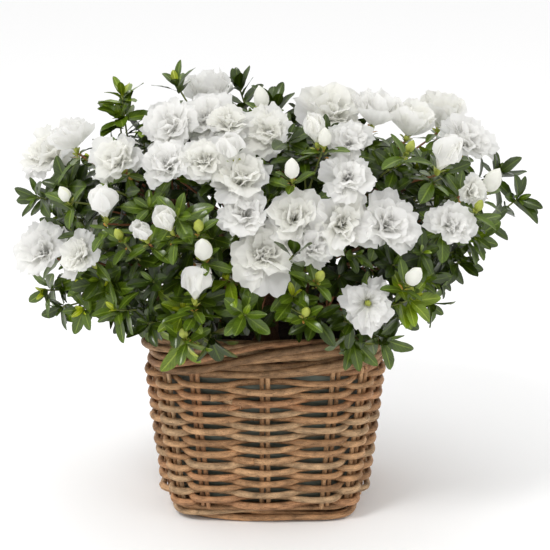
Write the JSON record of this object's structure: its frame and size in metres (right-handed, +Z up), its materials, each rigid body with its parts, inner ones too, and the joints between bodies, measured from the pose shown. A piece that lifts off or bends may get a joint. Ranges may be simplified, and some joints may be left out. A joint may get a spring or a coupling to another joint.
{
  "type": "potted azalea",
  "caption": "Evergreen florist's azalea with double white blooms over a dense dome of small dark leaves, standing in a rounded square willow basket with a plastic liner.",
  "frame": {"origin": "centre of the basket's flat underside", "axes": "+Z up along the trunk, -Y towards the front, +X to the right seen from the front"},
  "size_m": [0.4158, 0.3612, 0.3566],
  "materials": {
    "willow": "bare willow rods, dry, matt brown bark",
    "rim_willow": "bare willow rods, slightly darker, satin where handled",
    "stake_willow": "bare willow rods, paler, matt",
    "liner": "dark grey-green moulded plastic",
    "soil": "peat potting soil, crumbly and matt",
    "bark": "thin brown bark",
    "foliage": "dark green leaves with a soft gloss, white petals"
  },
  "bodies": {
    "root": {"basket_frame": "stake_willow", "bough_back_left_brow": "bark", "bough_back_left_shoulder": "bark", "bough_back_left_skirt": "bark", "bough_back_right_brow": "bark", "bough_back_right_shoulder": "bark", "bough_back_right_skirt": "bark", "bough_back_skirt": "bark", "bough_crown_back": "bark", "bough_crown_left": "bark", "bough_crown_right": "bark", "bough_front": "bark", "bough_front_left_brow": "bark", "bough_front_left_skirt": "bark", "bough_front_right_brow": "bark", "bough_front_right_skirt": "bark", "bough_left_brow": "bark", "bough_left_shoulder": "bark", "bough_left_side": "bark", "bough_left_skirt": "bark", "bough_right_brow": "bark", "bough_right_shoulder": "bark", "bough_right_side": "bark", "bough_right_skirt": "bark", "foliage_back_left_brow": "foliage", "foliage_back_left_shoulder": "foliage", "foliage_back_left_skirt": "foliage", "foliage_back_right_brow": "foliage", "foliage_back_right_shoulder": "foliage", "foliage_back_right_skirt": "foliage", "foliage_back_skirt": "foliage", "foliage_crown_back": "foliage", "foliage_crown_left": "foliage", "foliage_crown_right": "foliage", "foliage_front": "foliage", "foliage_front_left_brow": "foliage", "foliage_front_left_skirt": "foliage", "foliage_front_right_brow": "foliage", "foliage_front_right_skirt": "foliage", "foliage_left_brow": "foliage", "foliage_left_shoulder": "foliage", "foliage_left_side": "foliage", "foliage_left_skirt": "foliage", "foliage_right_brow": "foliage", "foliage_right_shoulder": "foliage", "foliage_right_side": "foliage", "foliage_right_skirt": "foliage", "foot_rod_1": "willow", "foot_rod_2": "willow", "liner_pot": "liner", "rim_strand_1": "rim_willow", "rim_strand_2": "rim_willow", "rim_strand_3": "rim_willow", "soil": "soil", "trunk": "bark", "weaver_1": "willow", "weaver_2": "willow"}
  },
  "joints": []
}
